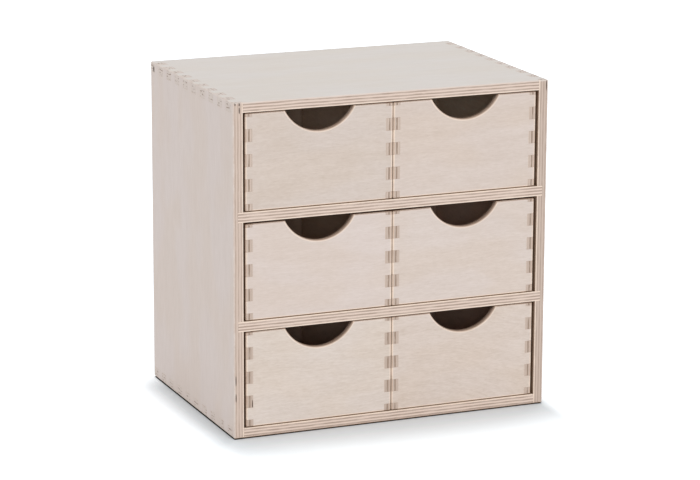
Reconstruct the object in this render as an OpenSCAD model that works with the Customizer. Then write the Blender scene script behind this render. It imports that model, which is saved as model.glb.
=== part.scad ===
// Desktop mini drawers: a birch plywood chest with three rows of two drawers.
// Every corner is a box joint, the shelves are housed in the sides, and each
// drawer is pulled by a half-round notch in the top edge of its front.
// Millimetres. The front faces -Y, +X is to the right and +Z is up. The origin is
// on the ground, under the middle of the chest.

/* [Overall size] */
// Width of the chest, left to right
width = 300; // [240:5:420]
// Height of the chest
height = 300; // [220:5:420]
// Depth of the chest, front to rear
depth = 215; // [150:5:330]

/* [Boards] */
// Thickness of the boards of the chest
case_t = 9; // [8:0.5:15]
// Thickness of the four walls of a drawer
drawer_t = 6.5; // [5:0.5:10]
// Thickness of the back panel
back_t = 3; // [2:0.5:6]
// Thickness of the bottom of a drawer
bottom_t = 3; // [2:0.5:6]
// Width of the eased edges round the outside of the chest and the drawers
ease = 0.8; // [0.2:0.1:1]

/* [Box joints] */
// Width of a finger
finger_w = 11; // [6:0.5:20]
// Width of the first finger, at the front of the chest
case_first = 5.5; // [3:0.5:11]
// Width of the first finger, at the top of a drawer
drawer_first = 3; // [2:0.5:11]
// Narrowest finger that a joint may end with
finger_min = 2.5; // [1:0.5:5]

/* [Housings and grooves] */
// Depth of the housings in the sides that hold the shelves
housing_depth = 5; // [2:0.5:7]
// Depth of the groove round the back panel
back_groove = 4; // [2:0.5:7]
// Distance from the rear edges of the chest to the back panel
back_inset = 6; // [3:0.5:20]
// Depth of the groove round the bottom of a drawer
bottom_groove = 3; // [1.5:0.5:4.5]
// Height of the drawer bottom's underside above the lower edge of the drawer
bottom_rise = 7.5; // [4:0.5:20]
// Play between the edge of a panel and the floor of its groove
groove_play = 0.5; // [0.2:0.1:1]

/* [Finger notch] */
// Radius of the notch in a drawer front
notch_r = 36; // [24:1:60]
// Depth of the notch below the top edge of the front
notch_depth = 20; // [12:1:30]

/* [Fit of the drawers] */
// Gap between a drawer and the side of the chest
side_gap = 2.5; // [1:0.5:5]
// Gap between the two drawers of a row
pair_gap = 0.5; // [0.3:0.1:4]
// Gap above a drawer of the top or the bottom row
top_gap = 0.9; // [0.5:0.1:4]
// How much wider the gap above a drawer of the middle row is
middle_extra = 1; // [0:0.1:3]
// Running gap under a drawer
run_gap = 0.2; // [0.1:0.1:0.5]
// Distance from the front edges of the chest to a drawer front
front_inset = 1; // [0.5:0.5:5]
// Gap between a drawer and the back panel
rear_gap = 1; // [0.5:0.5:5]

/* [Hidden] */
$fn = 96;
// Overlap of a cut with the air beside it
cut = 1;

row_names = ["bottom", "middle", "top"];
column_names = ["left", "right"];
rows = len(row_names);
columns = len(column_names);
middle_row = 1;

// Clear space inside the chest
inner_w = width - 2 * case_t;
inner_h = height - 2 * case_t;
inner_d = depth - back_inset - back_t;
opening_h = (inner_h - (rows - 1) * case_t - middle_extra) / rows;
row_pitch = opening_h + case_t;

// Outside of one drawer
drawer_w = (inner_w - 2 * side_gap - (columns - 1) * pair_gap) / columns;
drawer_h = opening_h - top_gap - run_gap;
drawer_d = inner_d - front_inset - rear_gap;
column_pitch = drawer_w + pair_gap;

// Colours of the sanded birch, by the way each board catches the light
side_birch = "#cfc4bd";
top_birch = "#d9d5cd";
front_birch = "#dccfc3";
wall_birch = "#d5c8ba";
panel_birch = "#c9b8a4";

// Underside of the board that carries a row
function row_base(row) = row * row_pitch + (row > middle_row ? middle_extra : 0);

function drawer_node(column, row, piece) =
    str(row_names[row], "_", column_names[column], "_drawer_", piece);

// ---- Box joints ----
// Fingers are counted along the joint from 0. The even ones belong to the sides
// of the box and the odd ones to the boards between them.

function finger_count(length, first) =
    let (whole = floor((length - first) / finger_w),
         rest = length - first - whole * finger_w)
    whole + (rest < finger_min ? 1 : 2);

function finger_from(i, first) = i == 0 ? -cut : first + (i - 1) * finger_w;

function finger_to(i, length, first) =
    i == finger_count(length, first) - 1 ? length + cut : first + i * finger_w;

// Room for the fingers of the other board, along +X from 0 to length. It reaches
// board_t to each side of that line along Y. Along Z it takes up the thickness of
// the board, and goes on by under below it and by over above it.
module finger_room(length, first, parity, board_t, under, over) {
    for (i = [parity : 2 : finger_count(length, first) - 1]) {
        from = finger_from(i, first);
        translate([from, -board_t, -under])
            cube([finger_to(i, length, first) - from, 2 * board_t, under + board_t + over]);
    }
}

// ---- Common shapes ----

// A rectangle round the origin with its four corners cut off at 45 degrees
module eased_square(x, y) {
    polygon([
        [x / 2 - ease, -y / 2], [x / 2, -y / 2 + ease],
        [x / 2, y / 2 - ease], [x / 2 - ease, y / 2],
        [-x / 2 + ease, y / 2], [-x / 2, y / 2 - ease],
        [-x / 2, -y / 2 + ease], [-x / 2 + ease, -y / 2]
    ]);
}

// The outside of a box that stands on the ground, with all its edges eased
module eased_box(x, y, z) {
    translate([0, 0, z / 2])
        intersection() {
            linear_extrude(z, center = true) eased_square(x, y);
            rotate([90, 0, 0]) linear_extrude(y, center = true) eased_square(x, z);
            rotate([0, 90, 0]) linear_extrude(x, center = true) eased_square(z, y);
        }
}

// A block that stands on z = 0, centred on X, with its front face at y = 0
module block(x, y, z) {
    translate([-x / 2, 0, 0]) cube([x, y, z]);
}

// ---- Chest ----

module case_outline() {
    eased_box(width, depth, height);
}

// The space that a shelf fills, housed in both sides
module shelf_block(row) {
    translate([0, -depth / 2, row_base(row)])
        block(inner_w + 2 * housing_depth, inner_d, case_t);
}

// The space of the back panel, less play all round its edge
module back_block(play) {
    reach = back_groove - play;
    translate([0, depth / 2 - back_inset - back_t, case_t - reach])
        block(inner_w + 2 * reach, back_t, inner_h + 2 * reach);
}

// Room for fingers at the left or right edge (way -1 or 1) of a board across the
// chest, from the front edge to the rear edge. The underside of the board is at z.
module case_finger_room(parity, way, z, under, over) {
    translate([way * width / 2, -depth / 2, z])
        rotate([0, 0, 90])
            finger_room(depth, case_first, parity, case_t, under, over);
}

module case_side(way) {
    color(side_birch)
        difference() {
            intersection() {
                case_outline();
                translate([way * (width - case_t) / 2, -depth / 2, 0])
                    block(case_t, depth, height);
            }
            case_finger_room(1, way, 0, cut, 0);
            case_finger_room(1, way, height - case_t, 0, cut);
            for (row = [1 : rows - 1]) shelf_block(row);
            back_block(0);
        }
}

module side_left() {
    case_side(-1);
}

module side_right() {
    case_side(1);
}

// The top or the bottom board, with its underside at height z
module case_across(z) {
    difference() {
        intersection() {
            case_outline();
            translate([0, -depth / 2, z]) block(width, depth, case_t);
        }
        for (way = [-1, 1]) case_finger_room(0, way, z, cut, cut);
        back_block(0);
    }
}

module top_panel() {
    color(top_birch) case_across(height - case_t);
}

module bottom_panel() {
    color(top_birch) case_across(0);
}

module shelf_lower() {
    color(top_birch) shelf_block(1);
}

module shelf_upper() {
    color(top_birch) shelf_block(2);
}

module back_panel() {
    color(panel_birch) back_block(groove_play);
}

// ---- Drawer ----
// A drawer is drawn with its lower edge on z = 0, centred on X, with its front
// face at y = 0.

module drawer_outline() {
    translate([0, drawer_d / 2, 0]) eased_box(drawer_w, drawer_d, drawer_h);
}

// The space of the drawer's bottom, less play all round its edge
module bottom_block(play) {
    reach = bottom_groove - play;
    translate([0, drawer_t - reach, bottom_rise])
        block(drawer_w - 2 * drawer_t + 2 * reach,
              drawer_d - 2 * drawer_t + 2 * reach, bottom_t);
}

// Room for fingers at the left or right end (way -1 or 1) of a wall across the
// drawer, from the top edge down. The front face of the wall is at y. The room goes
// on by behind past the rear face, and by before past the front face.
module drawer_finger_room(parity, way, y, behind, before) {
    translate([way * drawer_w / 2, y + drawer_t, drawer_h])
        rotate([90, 90, 0])
            finger_room(drawer_h, drawer_first, parity, drawer_t, behind, before);
}

// The front or the back wall, with its front face at y
module drawer_across(y) {
    difference() {
        intersection() {
            drawer_outline();
            translate([0, y, 0]) block(drawer_w, drawer_t, drawer_h);
        }
        for (way = [-1, 1]) drawer_finger_room(0, way, y, cut, cut);
        bottom_block(0);
    }
}

// The half-round finger notch, with both of its rims eased
module finger_notch() {
    translate([0, 0, drawer_h - notch_depth + notch_r])
        rotate([-90, 0, 0]) {
            translate([0, 0, -cut]) cylinder(r = notch_r, h = drawer_t + 2 * cut);
            cylinder(r1 = notch_r + ease, r2 = notch_r, h = ease);
            translate([0, 0, drawer_t - ease])
                cylinder(r1 = notch_r, r2 = notch_r + ease, h = ease);
        }
}

module drawer_front() {
    color(front_birch)
        difference() {
            drawer_across(0);
            finger_notch();
        }
}

module drawer_back() {
    color(wall_birch) drawer_across(drawer_d - drawer_t);
}

module drawer_wall(way) {
    color(wall_birch)
        difference() {
            intersection() {
                drawer_outline();
                translate([way * (drawer_w - drawer_t) / 2, 0, 0])
                    block(drawer_t, drawer_d, drawer_h);
            }
            drawer_finger_room(1, way, 0, 0, cut);
            drawer_finger_room(1, way, drawer_d - drawer_t, cut, 0);
            bottom_block(0);
        }
}

module drawer_bottom() {
    color(panel_birch) bottom_block(groove_play);
}

// ---- The pieces ----

side_left();
side_right();
top_panel();
bottom_panel();
shelf_lower();
shelf_upper();
back_panel();

for (row = [0 : rows - 1], column = [0 : columns - 1])
    translate([
        (column - (columns - 1) / 2) * column_pitch,
        -depth / 2 + front_inset,
        row_base(row) + case_t + run_gap
    ]) {
        drawer_front();
        drawer_wall(-1);
        drawer_wall(1);
        drawer_back();
        drawer_bottom();
    }
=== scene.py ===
import math
from collections import namedtuple

import bpy
from mathutils import Matrix, Vector


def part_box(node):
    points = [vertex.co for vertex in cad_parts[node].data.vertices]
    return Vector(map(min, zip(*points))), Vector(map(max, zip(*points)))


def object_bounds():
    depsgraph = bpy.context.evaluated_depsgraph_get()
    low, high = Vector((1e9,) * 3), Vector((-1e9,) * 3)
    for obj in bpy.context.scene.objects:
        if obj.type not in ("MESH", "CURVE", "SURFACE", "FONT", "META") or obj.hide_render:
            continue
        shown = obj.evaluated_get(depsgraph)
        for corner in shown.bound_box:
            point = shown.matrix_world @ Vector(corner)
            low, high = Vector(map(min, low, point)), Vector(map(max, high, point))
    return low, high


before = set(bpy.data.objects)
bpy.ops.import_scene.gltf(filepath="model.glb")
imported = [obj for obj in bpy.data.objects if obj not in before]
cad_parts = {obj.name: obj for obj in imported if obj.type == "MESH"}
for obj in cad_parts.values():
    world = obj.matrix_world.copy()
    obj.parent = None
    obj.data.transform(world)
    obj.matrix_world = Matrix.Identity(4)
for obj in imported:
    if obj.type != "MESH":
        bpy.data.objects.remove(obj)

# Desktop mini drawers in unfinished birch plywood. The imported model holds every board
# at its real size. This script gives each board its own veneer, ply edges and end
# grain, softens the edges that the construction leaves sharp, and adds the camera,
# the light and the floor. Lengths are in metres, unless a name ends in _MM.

CAD_LOW, CAD_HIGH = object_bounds()

# ---- Camera, fitted to the edges of the chest in the photograph ----
FRAME_WIDTH_PX = 700
FOCAL_LENGTH_PX = 3032
SENSOR_WIDTH_MM = 36.0
CAMERA_AT = Vector((-1.0389, -2.4911, 0.8021))
CAMERA_AZIMUTH = 22.717
CAMERA_DOWN = 13.744
CAMERA_ROLL = 0.250

# ---- Axes of the frame ----
X, Y, Z = 0, 1, 2
MM = 1000.0


def linear(red, green, blue):
    """An sRGB colour, 0 to 255, as the linear colour that a shader takes."""
    shares = [c / 255 for c in (red, green, blue)]
    flat = [c / 12.92 if c <= 0.04045 else ((c + 0.055) / 1.055) ** 2.4 for c in shares]
    return (*flat, 1.0)


def mixed(share, a, b):
    """Colour a where share is 0, and b where it is 1."""
    return tuple(x + (y - x) * share for x, y in zip(a, b))


# What sets one board's look apart. along is the axis of the face grain and across the
# axis of the board's thickness. tone is the colour of the outer face and inner that of
# the face inside the chest or the drawer. heart is the middle of the figure, in mm from
# the middle of the board, and stretch says how drawn out its rings are along the grain.
# fibre is the length of its fibres in mm, and mottle the strength of its broad patches.
Board = namedtuple(
    "Board", "stock along across tone inner figure mottle fibre heart stretch seed")

# A kind of plywood: the number of plies, the thickness of an inner one, the colours of
# long grain and end grain on the board's long edges and on its ends, the colours of the
# outermost and the innermost ply on its ends, and between which levels of noise an end
# goes from its faintest to its strongest.
Stock = namedtuple(
    "Stock", "plies ply_mm edge_light edge_dark end_light end_dark outer_ply inner_ply fade")

CASE_PLIES = (7, 1.36)
CASE_ENDS = (
    linear(216, 204, 196), linear(158, 137, 124),
    linear(200, 185, 175), linear(200, 185, 175), (0.01, 0.12))
LEFT_STOCK = Stock(*CASE_PLIES, linear(216, 197, 184), linear(191, 170, 156), *CASE_ENDS)
RIGHT_STOCK = Stock(*CASE_PLIES, linear(207, 189, 176), linear(184, 163, 150), *CASE_ENDS)
LEVEL_STOCK = Stock(*CASE_PLIES, linear(230, 211, 198), linear(180, 158, 144), *CASE_ENDS)
# On the ends of the drawer boards the outermost ply is pale peach, partly painted highlight
# where the eased edge catches the light
DRAWER_STOCK = Stock(
    5, 1.40, linear(204, 179, 160), linear(150, 122, 104),
    linear(214, 196, 183), linear(162, 141, 126),
    linear(229, 201, 180), linear(203, 185, 172), (-0.38, 0.14))
THIN_STOCK = Stock(
    3, 1.20, linear(222, 198, 174), linear(160, 130, 106),
    linear(222, 198, 174), linear(150, 120, 98),
    linear(190, 162, 138), linear(190, 162, 138), (-0.38, 0.14))

# Colours that all the boards share
GLUE_LINE = linear(150, 122, 104)
VOID = linear(52, 34, 26)
# Pale colours of the edges: partly sanding wear, partly painted highlight where the eased
# edges catch the light
WORN_RIM_HIGHLIGHT = linear(250, 231, 214)
PALE_WORN_RIM_HIGHLIGHT = linear(226, 215, 207)


class Graph:
    """Adds shader nodes to a material or a world, in place of those it came with.
    Sockets and numbers pass for each other."""

    def __init__(self, owner):
        owner.use_nodes = True
        self.tree = owner.node_tree
        self.tree.nodes.clear()

    def put(self, socket, value):
        if isinstance(value, bpy.types.NodeSocket):
            self.tree.links.new(value, socket)
        else:
            socket.default_value = value

    def node(self, kind, inputs=(), **settings):
        made = self.tree.nodes.new("ShaderNode" + kind)
        for name, value in settings.items():
            setattr(made, name, value)
        for place, value in dict(inputs).items():
            self.put(made.inputs[place], value)
        return made

    def math(self, operation, a, b=0.0, c=0.0):
        return self.node("Math", {0: a, 1: b, 2: c}, operation=operation).outputs[0]

    def add(self, *values):
        total = values[0]
        for value in values[1:]:
            total = self.math("ADD", total, value)
        return total

    def less(self, a, b):
        return self.math("SUBTRACT", a, b)

    def times(self, a, b):
        return self.math("MULTIPLY", a, b)

    def blend(self, share, a, b):
        """Colour a where share is 0, and b where it is 1."""
        made = self.node("Mix", {0: share, 6: a, 7: b}, data_type="RGBA")
        return made.outputs[2]

    def blend_numbers(self, share, a, b):
        return self.node("Mix", {0: share, 2: a, 3: b}).outputs[0]

    def tint(self, a, b):
        """Colour a times colour b."""
        made = self.node(
            "Mix", {0: 1.0, 6: a, 7: b}, data_type="RGBA", blend_type="MULTIPLY")
        return made.outputs[2]

    def rise(self, value, low, high, start=0.0, end=1.0):
        """A smooth step from start to end, while value goes from low to high."""
        steps = {0: value, 1: low, 2: high, 3: start, 4: end}
        made = self.node("MapRange", steps, interpolation_type="SMOOTHSTEP")
        return made.outputs[0]

    def vector(self, x, y, z):
        return self.node("CombineXYZ", {0: x, 1: y, 2: z}).outputs[0]

    def axes(self, vector):
        return self.node("SeparateXYZ", {0: vector}).outputs

    def scaled(self, vector, scale):
        made = self.node("VectorMath", {0: vector, "Scale": scale}, operation="SCALE")
        return made.outputs[0]

    def from_point(self, point):
        """Where the surface is, in mm from a point of the frame."""
        place = self.node("TexCoord").outputs["Object"]
        moved = self.node("VectorMath", {0: place, 1: point}, operation="SUBTRACT")
        return self.scaled(moved.outputs[0], MM)

    def noise(self, place, detail=2.0, roughness=0.5):
        """Noise round 0, mostly within 0.25, with features one unit of place in size."""
        made = self.node("TexNoise", {
            "Vector": place,
            "Scale": 1.0,
            "Detail": detail,
            "Roughness": roughness,
        })
        return self.less(made.outputs[0], 0.5)


# ---- Birch plywood ----

def middle_of(box):
    return (box[0] + box[1]) / 2


def body_box(node):
    """The lowest and highest corners of the chest, or of the drawer the board is in."""
    place, is_drawer, _ = node.partition("_drawer_")
    if not is_drawer:
        return CAD_LOW, CAD_HIGH
    boxes = [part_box(f"{place}_drawer_{piece}") for piece in ("front", "back")]
    return boxes[0][0], boxes[1][1]


def outward_way(board, node):
    """Which way the outer face of a board looks along the axis of its thickness."""
    offset = middle_of(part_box(node)) - middle_of(body_box(node))
    return math.copysign(1.0, offset[board.across])


def board_place(graph, board, node):
    """Distances in mm from the middle of a board: along the grain, beside it, across."""
    axes = graph.axes(graph.from_point(middle_of(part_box(node))))
    beside = 3 - board.along - board.across
    return axes[board.along], axes[beside], axes[board.across]


def depths_inside(graph, low, high):
    """How far the surface is inside each pair of faces of a box, in mm, by axis."""
    half = (high - low) / 2 * MM
    axes = graph.axes(graph.from_point(middle_of((low, high))))
    return [graph.less(half[axis], graph.math("ABSOLUTE", axes[axis])) for axis in (X, Y, Z)]


# The pale lines of the edges, partly sanding wear and partly painted highlight. Their
# full strength reaches this far from the edge, in mm, and their last trace that far, on a
# drawer front, another wall and the chest.
FULL_WEAR_HIGHLIGHT_MM = 0.5
FRONT_WEAR_HIGHLIGHT_MM = 2.2
WALL_WEAR_HIGHLIGHT_MM = 1.5
CASE_WEAR_HIGHLIGHT_MM = 1.7
# The same two distances on the long inner edges of the chest's boards, and how far below
# its upper edges a drawer's wear and painted highlight begins and is complete
ARRIS_WEAR_HIGHLIGHT_MM = (0.2, 1.5)
BELOW_TOP_MM = (0.9, 2.0)
# The wear and painted highlight are uneven: rubbed patches and nicks to a mm, and how much
# the nicks count
RUBBED_PER_MM = 0.08
NICKS_PER_MM = 0.45
NICKS_WEAR_HIGHLIGHT = 0.6
# Two levels of that noise, and the share of wear and painted highlight at each
FRONT_WEAR_HIGHLIGHT = (-0.35, 0.15, 0.55, 1.0)
WALL_WEAR_HIGHLIGHT = (-0.30, 0.20, 0.0, 0.35)
CASE_WEAR_HIGHLIGHT = (-0.15, 0.25, 0.1, 0.9)
ARRIS_WEAR_HIGHLIGHT = (-0.30, 0.20, 0.45, 1.0)


def outer_edges(graph, node, reach):
    """1 on the outer edges of the chest or the drawer, and 0 from reach mm inside them."""
    depths = depths_inside(graph, *body_box(node))
    nearer = graph.math("MINIMUM", depths[X], depths[Y])
    farther = graph.math("MAXIMUM", depths[X], depths[Y])
    second = graph.math("MAXIMUM", nearer, graph.math("MINIMUM", farther, depths[Z]))
    return graph.rise(second, FULL_WEAR_HIGHLIGHT_MM, reach, 1.0, 0.0)


def below_top(graph, node):
    """0 on the upper edges of a drawer, which get no pale line, and 1 below them."""
    _, high = body_box(node)
    down = graph.times(graph.axes(graph.from_point(high))[Z], -1.0)
    return graph.rise(down, *BELOW_TOP_MM)


def inner_arrises(graph, board, node):
    """1 on the long edges of a chest board at the front and the rear, next to the
    drawers, and 0 away from them."""
    depths = depths_inside(graph, *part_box(node))
    second = graph.math("MAXIMUM", depths[Y], depths[board.across])
    arrises = graph.rise(second, *ARRIS_WEAR_HIGHLIGHT_MM, 1.0, 0.0)
    if node.startswith("shelf"):
        return arrises
    inwards = graph.times(board_place(graph, board, node)[2], -outward_way(board, node))
    return graph.times(arrises, graph.rise(inwards, 0.0, 1.0))


# The finger notch, how far outside it the pale line on its rim runs, and two distances
# from the middle of that line, in mm, with the share of wear and painted highlight at each
NOTCH_RADIUS_MM = 36.0
NOTCH_DEPTH_MM = 20.0
NOTCH_RIM_MM = 1.0
NOTCH_WEAR_HIGHLIGHT = (0.3, 0.9, 0.65, 0.0)


def notch_arris(graph, node):
    """How pale the rims of the finger notch of a drawer front are, with wear and painted
    highlight: 0 away from them.
    """
    low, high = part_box(node)
    depths = depths_inside(graph, low, high)
    top = Vector((middle_of((low, high)).x, low.y, high.z))
    axes = graph.axes(graph.from_point(top))
    height = graph.less(axes[Z], NOTCH_RADIUS_MM - NOTCH_DEPTH_MM)
    squares = graph.add(graph.times(axes[X], axes[X]), graph.times(height, height))
    off_rim = graph.less(graph.math("SQRT", squares), NOTCH_RADIUS_MM + NOTCH_RIM_MM)
    second = graph.math("MAXIMUM", depths[Y], graph.math("ABSOLUTE", off_rim))
    return graph.rise(second, *NOTCH_WEAR_HIGHLIGHT)


def wear_and_highlights(graph, board, node):
    """Where the sanded edges of a board are paler, partly from wear and partly as painted
    highlight, in uneven stretches, and to what colour: pairs of share and colour."""
    rubbed = graph.noise(graph.scaled(graph.from_point(Vector()), RUBBED_PER_MM))
    nicks = graph.noise(graph.scaled(graph.from_point(Vector()), NICKS_PER_MM))
    uneven = graph.add(rubbed, graph.times(nicks, NICKS_WEAR_HIGHLIGHT))
    if node.endswith("_drawer_front"):
        edges = graph.times(
            outer_edges(graph, node, FRONT_WEAR_HIGHLIGHT_MM), below_top(graph, node))
        edges = graph.math("MAXIMUM", edges, notch_arris(graph, node))
        return [(graph.times(edges, graph.rise(uneven, *FRONT_WEAR_HIGHLIGHT)), WORN_RIM_HIGHLIGHT)]
    if "_drawer_" in node:
        edges = graph.times(
            outer_edges(graph, node, WALL_WEAR_HIGHLIGHT_MM), below_top(graph, node))
        return [(graph.times(edges, graph.rise(uneven, *WALL_WEAR_HIGHLIGHT)), WORN_RIM_HIGHLIGHT)]
    outer = graph.times(
        outer_edges(graph, node, CASE_WEAR_HIGHLIGHT_MM), graph.rise(uneven, *CASE_WEAR_HIGHLIGHT))
    inner = graph.times(
        inner_arrises(graph, board, node), graph.rise(uneven, *ARRIS_WEAR_HIGHLIGHT))
    return [(outer, PALE_WORN_RIM_HIGHLIGHT), (inner, WORN_RIM_HIGHLIGHT)]


# A layer of noise on a board: how many features there are to a mm, in the first and in
# the second of its two directions, what sets it apart from the other layers of the
# board, its detail and its roughness
Layer = namedtuple("Layer", "first second offset detail roughness")
# What bends the growth rings and the plies, and how far
DRIFT = Layer(0.012, 0.014, 0.0, 1.0, 0.5)
DRIFT_MM = 13.0
WOBBLE = Layer(0.035, 0.035, 21.7, 2.0, 0.5)
WOBBLE_MM = 0.8
# Bands and fine lines across the rings, fibres, dashes along the grain and patches. How
# many fibres there are to a mm along the grain comes from the board.
BANDS = Layer(0.11, 0.012, 3.1, 1.0, 0.5)
LINES = Layer(0.50, 0.060, 5.7, 3.0, 0.6)
FIBRES = Layer(None, 0.85, 9.3, 2.0, 0.7)
DASHES = Layer(0.16, 1.3, 12.9, 1.0, 0.5)
PATCHES = Layer(0.013, 0.03, 17.3, 1.0, 0.5)


def layer(graph, board, kind, first, second):
    """A layer of noise on a board, over two distances in mm."""
    place = graph.vector(
        graph.times(first, kind.first), graph.times(second, kind.second),
        board.seed + kind.offset)
    return graph.noise(place, kind.detail, kind.roughness)


def growth_rings(graph, board, along, beside):
    """Distance from the heart of the figure. Its level lines are the grain lines."""
    drift = layer(graph, board, DRIFT, along, beside)
    u = graph.times(graph.less(along, board.heart[0]), 1 / board.stretch)
    v = graph.less(beside, board.heart[1])
    squares = graph.add(graph.times(u, u), graph.times(v, v))
    return graph.add(graph.math("SQRT", squares), graph.times(drift, DRIFT_MM))


# How the figure of a veneer scales the colour of its board
PALE = (1.045, 1.052, 1.060, 1.0)
STREAKED = (0.890, 0.864, 0.830, 1.0)
COOL = (1.008, 1.011, 1.020, 1.0)
WARM = (0.998, 0.985, 0.966, 1.0)

# The share of streaks in an even spot, and how much each layer adds to it. Here and
# below, four numbers are two levels of noise and what it leads to at each.
EVEN_SHARE = 0.36
BANDS_STREAK = 0.6
LINES_STREAK = 1.1
FIBRES_STREAK = 1.4
DASHES_STREAK = (0.14, 0.30, 0.0, 0.45)
# The level of the patches where the tint is all warm. It is all cool at minus that.
MOTTLE_LEVEL = 0.14

# The height of an even spot, how much the fibres and the lines add to it on a face, and
# how much the end grain and the spots add on an edge
MIDDLE_HEIGHT = 0.5
FIBRES_HEIGHT = 0.6
LINES_HEIGHT = 0.4
END_GRAIN_HEIGHT = -0.8
SPOTS_HEIGHT = 0.5


def veneer(graph, board, along, beside):
    """How a sanded face scales the colour of its board, and its height."""
    rings = growth_rings(graph, board, along, beside)
    bands = layer(graph, board, BANDS, rings, along)
    lines = layer(graph, board, LINES, rings, along)
    fibres = layer(
        graph, board, FIBRES._replace(first=1 / board.fibre), along, beside)
    dashes = layer(graph, board, DASHES, along, rings)
    patches = layer(graph, board, PATCHES, along, beside)

    streaks = graph.add(
        graph.times(bands, BANDS_STREAK),
        graph.times(lines, LINES_STREAK),
        graph.times(fibres, FIBRES_STREAK),
        graph.rise(dashes, *DASHES_STREAK))
    share = graph.add(EVEN_SHARE, graph.times(streaks, board.figure))
    figure = graph.blend(graph.math("MAXIMUM", share, 0.0), PALE, STREAKED)
    patches = graph.times(patches, board.mottle)
    mottle = graph.blend(graph.rise(patches, -MOTTLE_LEVEL, MOTTLE_LEVEL), COOL, WARM)
    height = graph.add(
        MIDDLE_HEIGHT,
        graph.times(fibres, FIBRES_HEIGHT),
        graph.times(lines, LINES_HEIGHT))
    return graph.tint(figure, mottle), height


# The spots and the fading of the plies: features to a mm along the board, beside it and
# across, and what their levels lead to
PLY_NOISE_ROUGHNESS = 0.6
SPOTS_DETAIL = 3.0
SPOTS_PER_MM = (0.9, 0.9, 1.6)
SPOTS_SHARE = (0.0, 0.3, 0.0, 0.25)
FADING_PER_MM = (0.06, 0.12, 0.7)
EDGE_FADE = (-0.25, 0.20, 0.35, 1.15)
END_FADE_TO = (0.0, 1.15)
# Where in the wave of the plies one grain turns into the other, how much wider the end
# grain is on an end of the board, and how the glue shows round the middle of the wave
GRAIN_TURNS = (-0.30, 0.15)
WIDER_ON_ENDS = 0.25
GLUE_SHARE = (0.0, 0.20, 0.22, 0.0)
# Over how many plies the outermost one turns into the next, to each side
SKIN_BLUR = 0.15


def plies_from_middle(graph, board, along, beside, across):
    """How many plies the surface is from the middle of the board. They bend a little."""
    wobble = layer(graph, board, WOBBLE, along, beside)
    bent = graph.add(across, graph.times(wobble, WOBBLE_MM))
    return graph.times(bent, 1 / board.stock.ply_mm)


def ply_wave(graph, stock, plies):
    """Up to 1 in a ply with its grain along the board, and down to -1 in the others."""
    wave = graph.math("COSINE", graph.times(plies, math.pi))
    outer_is_odd = (stock.plies // 2) % 2 == 1
    return graph.times(wave, -1.0) if outer_is_odd else wave


def ply_depth(graph, board, place, is_end):
    """How strongly the plies show. They fade in and out along the board."""
    x, y, z = [graph.times(part, count) for part, count in zip(place, FADING_PER_MM)]
    fading = graph.noise(
        graph.vector(x, y, graph.add(z, board.seed)), roughness=PLY_NOISE_ROUGHNESS)
    return graph.blend_numbers(
        is_end,
        graph.rise(fading, *EDGE_FADE),
        graph.rise(fading, *board.stock.fade, *END_FADE_TO))


def ply_colours(graph, stock, plies_outwards, is_end):
    """The colours of the long grain and of the end grain, where the plies show."""
    skin = stock.plies / 2 - 1
    is_outer = graph.rise(plies_outwards, skin - SKIN_BLUR, skin + SKIN_BLUR)
    is_inner = graph.rise(plies_outwards, SKIN_BLUR - skin, -SKIN_BLUR - skin)
    end_dark = graph.blend(is_outer, stock.end_dark, stock.outer_ply)
    end_dark = graph.blend(is_inner, end_dark, stock.inner_ply)
    light = graph.blend(is_end, stock.edge_light, stock.end_light)
    return light, graph.blend(is_end, stock.edge_dark, end_dark)


def ply_edge(graph, board, place, faces_along, outwards):
    """Colour, height and end-grain share where the plies of a board show."""
    plies = plies_from_middle(graph, board, *place)
    wave = ply_wave(graph, board.stock, plies)
    is_end = graph.times(faces_along, faces_along)
    is_edge = graph.less(1.0, is_end)
    face_grain = graph.rise(
        graph.add(wave, graph.times(is_end, WIDER_ON_ENDS)), *GRAIN_TURNS)
    end_grain = graph.add(
        graph.times(face_grain, is_end),
        graph.times(graph.less(1.0, face_grain), is_edge))

    scaled = [graph.times(part, count) for part, count in zip(place, SPOTS_PER_MM)]
    spots = graph.noise(
        graph.vector(*scaled), detail=SPOTS_DETAIL, roughness=PLY_NOISE_ROUGHNESS)
    depth = ply_depth(graph, board, place, is_end)
    share = graph.add(graph.times(end_grain, depth), graph.rise(spots, *SPOTS_SHARE))
    light, dark = ply_colours(
        graph, board.stock, graph.times(plies, outwards), is_end)
    colour = graph.blend(share, light, dark)
    glue = graph.rise(graph.math("ABSOLUTE", wave), *GLUE_SHARE)
    colour = graph.blend(graph.times(glue, depth), colour, GLUE_LINE)
    height = graph.add(
        MIDDLE_HEIGHT,
        graph.times(end_grain, END_GRAIN_HEIGHT),
        graph.times(spots, SPOTS_HEIGHT))
    return colour, height, end_grain


# Small holes in the core plies, by node: the middle of each and its half-length along
# X, Y and Z, in mm of the chest's own frame. A hole fades out round its half-length.
HOLE_EDGE = (0.75, 1.10)
HOLES_MM = {
    "side_left": [
        ((-148.0, -107.5, 298.6), (0.50, 1.5, 1.3)),
        ((-144.2, -107.5, 298.4), (0.55, 1.5, 1.7)),
        ((-144.2, -107.5, 293.2), (0.50, 1.5, 3.2)),
        ((-148.3, -107.5, 52.8), (0.45, 1.5, 5.0)),
        ((-148.3, -107.5, 37.2), (0.45, 1.5, 4.2)),
    ],
    "side_right": [((148.1, -107.5, 295.0), (0.45, 1.5, 5.0))],
    "top_panel": [((-150.0, 98.9, 294.0), (1.5, 1.7, 2.7))],
    "bottom_left_drawer_left_wall": [((-132.6, -106.5, 29.5), (0.40, 1.5, 4.6))],
}


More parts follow.
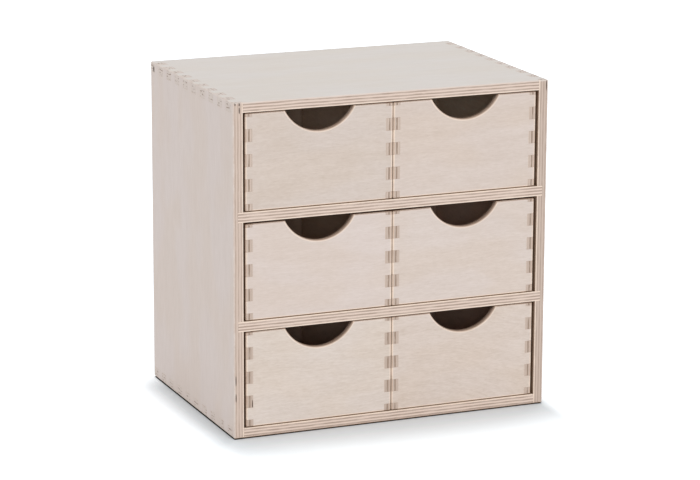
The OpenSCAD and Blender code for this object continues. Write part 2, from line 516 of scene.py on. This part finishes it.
def holes(graph, node):
    """1 inside the board's holes, and 0 elsewhere."""
    inside = 0.0
    for middle, half in HOLES_MM.get(node, ()):
        shares = graph.node(
            "VectorMath", {0: graph.from_point(Vector(middle) / MM), 1: half},
            operation="DIVIDE").outputs[0]
        reach = graph.node("VectorMath", {0: shares}, operation="LENGTH").outputs["Value"]
        inside = graph.math("MAXIMUM", inside, graph.rise(reach, *HOLE_EDGE, 1.0, 0.0))
    return inside


# How a crevice's painted shade scales the colour of its boards, how near its other side
# is, and how open the surface is where it is all crevice and where it is none
CREVICE_SHADE = (0.40, 0.29, 0.20, 1.0)
CREVICE_REACH = 0.006
CREVICE_SAMPLES = 4
CREVICE_OPENNESS = (0.1, 0.85)


def with_painted_crevice_shade(graph, colour):
    """A colour, darker and browner in the narrow gaps round the drawers: painted shade."""
    openness = graph.node(
        "AmbientOcclusion", {"Distance": CREVICE_REACH}, samples=CREVICE_SAMPLES)
    is_open = graph.rise(openness.outputs["AO"], *CREVICE_OPENNESS)
    return graph.blend(is_open, graph.tint(colour, CREVICE_SHADE), colour)


# How squarely a surface looks across its board where it starts to count as a face and
# where it does in full, and the same for looking inwards
FACE_FROM = (0.60, 0.85)
INNER_FROM = (0.0, 0.5)

# How rough the wood is on a face, on a long edge and on an end, how much smoother it is
# where it is worn, and how much rougher where it is high
FACE_ROUGHNESS = 0.58
EDGE_ROUGHNESS = 0.66
END_ROUGHNESS = 0.82
WORN_SMOOTHER = 0.08
HIGH_ROUGHER = 0.08
GRAIN_BUMP = {"Strength": 0.35, "Distance": 0.0002}
WOOD_IOR = 1.42


def plywood(board, node):
    """The material of one board."""
    material = bpy.data.materials.new(node + "_birch")
    graph = Graph(material)
    place = board_place(graph, board, node)
    normal = graph.axes(graph.node("TexCoord").outputs["Normal"])
    faces_along = graph.math("ABSOLUTE", normal[board.along])
    is_face = graph.rise(graph.math("ABSOLUTE", normal[board.across]), *FACE_FROM)

    outwards = outward_way(board, node)
    is_inner = graph.rise(graph.times(normal[board.across], -outwards), *INNER_FROM)
    tone = graph.blend(is_inner, board.tone, board.inner)
    pattern, face_height = veneer(graph, board, *place[:2])
    edge_colour, edge_height, end_grain = ply_edge(
        graph, board, place, faces_along, outwards)
    colour = graph.blend(is_face, edge_colour, graph.tint(tone, pattern))
    height = graph.blend_numbers(is_face, edge_height, face_height)

    worn = 0.0
    # Pale edges: partly sanding wear, partly painted highlight
    for share, rim in wear_and_highlights(graph, board, node):
        colour = graph.blend(share, colour, rim)
        worn = graph.math("MAXIMUM", worn, share)
    if node in HOLES_MM:
        inside = holes(graph, node)
        colour = graph.blend(inside, colour, VOID)
        height = graph.less(height, inside)
    # Painted shade in the narrow gaps round the drawers
    colour = with_painted_crevice_shade(graph, colour)

    edge_roughness = graph.blend_numbers(end_grain, EDGE_ROUGHNESS, END_ROUGHNESS)
    roughness = graph.blend_numbers(is_face, edge_roughness, FACE_ROUGHNESS)
    roughness = graph.less(roughness, graph.times(worn, WORN_SMOOTHER))
    roughness = graph.add(roughness, graph.times(height, HIGH_ROUGHER))
    bump = graph.node("Bump", {"Height": height, **GRAIN_BUMP})
    shader = graph.node("BsdfPrincipled", {
        "Base Color": colour,
        "Roughness": roughness,
        "Normal": bump.outputs[0],
        "IOR": WOOD_IOR,
    })
    graph.node("OutputMaterial", {"Surface": shader.outputs[0]})
    return material


# ---- The boards ----

# Tones of the faces of the chest. A level board lies flat, and the ceiling is the
# underside of one that has drawers below it. The ceiling's tone is darker and browner,
# painted shade over the middle and bottom drawers.
SIDE_TONE = linear(217, 205, 199)
TOP_TONE = linear(219, 213, 208)
LEVEL_TONE = linear(232, 215, 199)
SHADED_CEILING_TONE = linear(206, 172, 144)
INNER_TONE = linear(214, 194, 176)
PANEL_TONE = linear(219, 204, 190)

ROWS = ("bottom", "middle", "top")
COLUMNS = ("left", "right")

# Tone, strength of figure, heart and stretch of each drawer front, and how dark the
# light plies are on the ends of the fingers beside it
FRONT_LOOKS = {
    "top_left": (linear(214, 201, 192), 0.9, (60.0, -85.0), 5.0, 0.0),
    "top_right": (linear(217, 203, 194), 0.8, (60.0, -90.0), 4.5, 0.05),
    "middle_left": (linear(220, 207, 200), 0.7, (-60.0, 95.0), 6.0, 0.15),
    "middle_right": (linear(219, 206, 198), 0.8, (50.0, -110.0), 6.0, 0.20),
    "bottom_left": (linear(221, 209, 200), 1.0, (20.0, -140.0), 9.0, 0.35),
    "bottom_right": (linear(218, 204, 194), 1.1, (-42.0, -60.0), 2.2, 0.20),
}

# Tone of the inner faces of each drawer, and of the outer faces of all the walls. The
# inner tones are paler than the outer faces and palest in the top row: painted light
# that stands in for the light that comes in through the finger notches.
INNER_TONES_WITH_PAINTED_LIGHT = {
    "top_left": linear(251, 229, 210),
    "top_right": linear(255, 236, 216),
    "middle_left": linear(230, 202, 179),
    "middle_right": linear(242, 214, 196),
    "bottom_left": linear(224, 197, 179),
    "bottom_right": linear(232, 204, 188),
}
WALL_TONE = linear(218, 201, 186)
# How far the inner face of a drawer's back is mixed with the colour of the void:
# painted shade, which evens out the back with the less lit walls beside it
BACK_PAINTED_SHADE = 0.20

# Seeds of the drawers, far enough apart for all their boards to differ
FIRST_SEED = 300.0
SEEDS_APART = 150.0


def case_boards():
    """The seven boards of the chest, by node."""
    side = (Z, X, SIDE_TONE, INNER_TONE, 0.45, 1.2, 14.0)
    top = (LEVEL_STOCK, X, Z, TOP_TONE, LEVEL_TONE, 0.35, 0.5, 20.0)
    level = (LEVEL_STOCK, X, Z, LEVEL_TONE, LEVEL_TONE, 0.6, 1.0, 10.0)
    # The undersides of the shelves get the painted shade of the ceiling
    lower = (LEVEL_STOCK, X, Z, SHADED_CEILING_TONE, LEVEL_TONE, 0.6, 1.0, 10.0)
    upper = (LEVEL_STOCK, X, Z, LEVEL_TONE, SHADED_CEILING_TONE, 0.6, 1.0, 10.0)
    back = (THIN_STOCK, X, Y, PANEL_TONE, PANEL_TONE, 1.0, 1.0, 6.0)
    return {
        "side_left": Board(LEFT_STOCK, *side, (-40.0, 90.0), 9.0, 1.0),
        "side_right": Board(RIGHT_STOCK, *side, (30.0, -110.0), 9.0, 37.0),
        "top_panel": Board(*top, (40.0, 140.0), 7.0, 73.0),
        "bottom_panel": Board(*level, (-60.0, -120.0), 7.0, 109.0),
        "shelf_lower": Board(*lower, (20.0, 100.0), 7.0, 145.0),
        "shelf_upper": Board(*upper, (-20.0, -100.0), 7.0, 181.0),
        "back_panel": Board(*back, (30.0, 60.0), 4.0, 217.0),
    }


def drawer_boards(row, column, seed):
    """The five boards of one drawer, by node."""
    place = f"{row}_{column}"
    tone, figure, heart, stretch, fill = FRONT_LOOKS[place]
    # Paler inner faces, with painted light
    inner = INNER_TONES_WITH_PAINTED_LIGHT[place]
    name = f"{place}_drawer_"
    end_light = mixed(fill, DRAWER_STOCK.end_light, DRAWER_STOCK.end_dark)
    stock = DRAWER_STOCK._replace(end_light=end_light)
    front = (stock, X, Y, tone, inner, figure, 1.2, 5.0)
    wall = (stock, Y, X, WALL_TONE, inner, 0.8, 1.0, 6.0)
    # The inner face of the back gets painted shade
    back = (stock, X, Y, WALL_TONE, mixed(BACK_PAINTED_SHADE, inner, VOID), 0.8, 1.0, 6.0)
    bottom = (THIN_STOCK, X, Z, WALL_TONE, inner, 1.0, 1.0, 6.0)
    return {
        name + "front": Board(*front, heart, stretch, seed),
        name + "left_wall": Board(*wall, (20.0, 70.0), 7.0, seed + 29),
        name + "right_wall": Board(*wall, (-30.0, -80.0), 7.0, seed + 53),
        name + "back": Board(*back, (0.0, 90.0), 6.0, seed + 83),
        name + "bottom": Board(*bottom, (10.0, 60.0), 4.0, seed + 113),
    }


def all_boards():
    boards = case_boards()
    places = [(row, column) for row in ROWS for column in COLUMNS]
    for number, (row, column) in enumerate(places):
        boards.update(drawer_boards(row, column, FIRST_SEED + SEEDS_APART * number))
    return boards


# Points nearer than this are one. Edges that turn by more than the angle, in degrees,
# get a bevel of this width.
WELD = 1e-6
SOFT_EDGE = 0.00015
SHARPEST_LEFT = 60.0


def soften(board):
    """Takes the edge off the cuts that the construction leaves sharp."""
    weld = board.modifiers.new("weld", "WELD")
    weld.merge_threshold = WELD
    bevel = board.modifiers.new("soft_edges", "BEVEL")
    bevel.width = SOFT_EDGE
    bevel.segments = 1
    bevel.limit_method = "ANGLE"
    bevel.angle_limit = math.radians(SHARPEST_LEFT)


def dress(node, look):
    """Gives a board its material and its soft edges."""
    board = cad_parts[node]
    board.data.materials.clear()
    board.data.materials.append(plywood(look, node))
    soften(board)


# ---- Studio ----

def add_camera():
    data = bpy.data.cameras.new("camera")
    data.lens = FOCAL_LENGTH_PX / FRAME_WIDTH_PX * SENSOR_WIDTH_MM
    data.sensor_width = SENSOR_WIDTH_MM
    camera = bpy.data.objects.new("camera", data)
    turn = Matrix.Rotation(math.radians(-CAMERA_AZIMUTH), 4, "Z")
    tip = Matrix.Rotation(math.radians(90 - CAMERA_DOWN), 4, "X")
    roll = Matrix.Rotation(math.radians(CAMERA_ROLL), 4, "Z")
    camera.matrix_world = Matrix.Translation(CAMERA_AT) @ turn @ tip @ roll
    bpy.context.scene.collection.objects.link(camera)
    bpy.context.scene.camera = camera


# Azimuth, elevation, level and spread of each light. All angles are in degrees.
LIGHTS = {
    "rear_light": (160.0, 60.0, 0.18, 50.0),
    "left_light": (-105.0, 25.0, 0.155, 50.0),
    "front_light": (20.0, 16.0, 0.235, 26.0),
    "fill_light": (-22.0, 12.0, 0.12, 12.0),
}


def add_far_light(name, azimuth, elevation, level, spread):
    """A very large soft light, far off. Azimuth 0 is in front of the chest and 90 on
    its right. A level of 1 lights what faces it as much as a white sky would."""
    data = bpy.data.lights.new(name, "SUN")
    data.energy = level * math.pi
    data.angle = math.radians(spread)
    light = bpy.data.objects.new(name, data)
    turn, lift = math.radians(azimuth), math.radians(elevation)
    level_reach = math.cos(lift)
    towards = Vector((
        math.sin(turn) * level_reach, -math.cos(turn) * level_reach, math.sin(lift)))
    light.rotation_mode = "QUATERNION"
    light.rotation_quaternion = towards.to_track_quat("Z", "Y")
    bpy.context.scene.collection.objects.link(light)


def seen_share(graph):
    """1 for what the camera sees, itself or in a gloss, and 0 for light on the object."""
    path = graph.node("LightPath").outputs
    seen = graph.math("MAXIMUM", path["Is Camera Ray"], path["Is Glossy Ray"])
    return graph.math("MAXIMUM", seen, path["Is Transmission Ray"])


# The sky's strength as a light. To the camera it has a strength of 1, which is white.
SKY_LEVEL = 0.60
WHITE = (1.0, 1.0, 1.0, 1.0)


def add_world():
    """A white studio, which lights the object more softly than it looks."""
    world = bpy.data.worlds.new("studio")
    graph = Graph(world)
    level = graph.blend_numbers(seen_share(graph), SKY_LEVEL, 1.0)
    sky = graph.node("Background", {"Color": WHITE, "Strength": level})
    graph.node("OutputWorld", {"Surface": sky.outputs[0]})
    bpy.context.scene.world = world


# Half the length of the floor, how far it lies below the chest, which keeps a thin dark
# line under the boards, and the colour of the light that it throws back
FLOOR_HALF = 6.0
FLOOR_DROP = 0.0008
FLOOR_ALBEDO = linear(232, 232, 232)
# The paper looks darker near the chest, a painted shadow round its foot, and lighter
# away from it: its gain there, and how far from the chest that is reached, beside it
# and before it
FLOOR_GAIN = 1.60
CLEAR_BESIDE_MM = 34.0
CLEAR_BEFORE_MM = 93.0
# Its gain at the foot of the chest, where the painted shadow is darkest, beside it and
# before it
GAIN_BESIDE = 0.83
GAIN_BEFORE = 0.95
# The painted shadow clears sooner to the right of the chest and towards its rear: how
# far inside the chest's right and rear faces that begins, and over how many mm
SOON_RIGHT_MM = (5.0, 18.0)
SOON_REAR_MM = (45.0, 60.0)
# Half the width of the strip, out from a corner, where before turns into beside
CORNER_MM = 10.0
# The paper is a little cool, which makes up for the warm light off the wood
COOL_RED = 0.915
COOL_GREEN = 0.965
# A painted contact shadow: under the chest the paper turns black, and just beside it
UNDER_MM = 1.5
BESIDE_MM = 0.8


def floor_gain(graph):
    """How bright the paper looks, by its distance from the foot of the chest: painted shadow
    near it.
    """
    axes = graph.axes(graph.from_point(Vector()))
    out = [
        graph.less(graph.math("ABSOLUTE", axes[axis]), CAD_HIGH[axis] * MM)
        for axis in (X, Y)]
    right = graph.less(axes[X], CAD_HIGH[X] * MM - SOON_RIGHT_MM[0])
    rear = graph.less(axes[Y], CAD_HIGH[Y] * MM - SOON_REAR_MM[0])
    past = (*out, right, rear)
    clear = (CLEAR_BESIDE_MM, CLEAR_BEFORE_MM, SOON_RIGHT_MM[1], SOON_REAR_MM[1])
    shares = [
        graph.times(graph.math("MAXIMUM", distance, 0.0), 1 / full)
        for distance, full in zip(past, clear)]
    squares = [graph.times(share, share) for share in shares]
    reach = graph.math("SQRT", graph.add(*squares))
    is_before = graph.rise(graph.less(out[Y], out[X]), -CORNER_MM, CORNER_MM)
    foot = graph.blend_numbers(is_before, GAIN_BESIDE, GAIN_BEFORE)
    gain = graph.blend_numbers(graph.rise(reach, 0.0, 1.0), foot, FLOOR_GAIN)
    shade_edge = graph.blend_numbers(is_before, BESIDE_MM, 0.0)
    past_edge = graph.less(graph.math("MAXIMUM", out[X], out[Y]), shade_edge)
    return graph.times(gain, graph.rise(past_edge, -UNDER_MM, 0.0))


def floor_material():
    """White paper. It is whiter to the camera than to the light that it throws back."""
    material = bpy.data.materials.new("floor_paper")
    graph = Graph(material)
    gain = floor_gain(graph)
    white = graph.node("CombineColor", {
        0: graph.times(gain, COOL_RED),
        1: graph.times(gain, COOL_GREEN),
        2: gain,
    }).outputs[0]
    shade = graph.blend(seen_share(graph), FLOOR_ALBEDO, white)
    paper = graph.node("BsdfDiffuse", {"Color": shade})
    graph.node("OutputMaterial", {"Surface": paper.outputs[0]})
    return material


def add_floor():
    mesh = bpy.data.meshes.new("floor")
    corners = [(-1, -1), (1, -1), (1, 1), (-1, 1)]
    points = [(x * FLOOR_HALF, y * FLOOR_HALF, -FLOOR_DROP) for x, y in corners]
    mesh.from_pydata(points, [], [(0, 1, 2, 3)])
    mesh.materials.append(floor_material())
    floor = bpy.data.objects.new("floor", mesh)
    bpy.context.scene.collection.objects.link(floor)


add_camera()
for node, look in all_boards().items():
    dress(node, look)
add_world()
add_floor()
for name, light in LIGHTS.items():
    add_far_light(name, *light)
bpy.context.scene.view_settings.view_transform = "Standard"
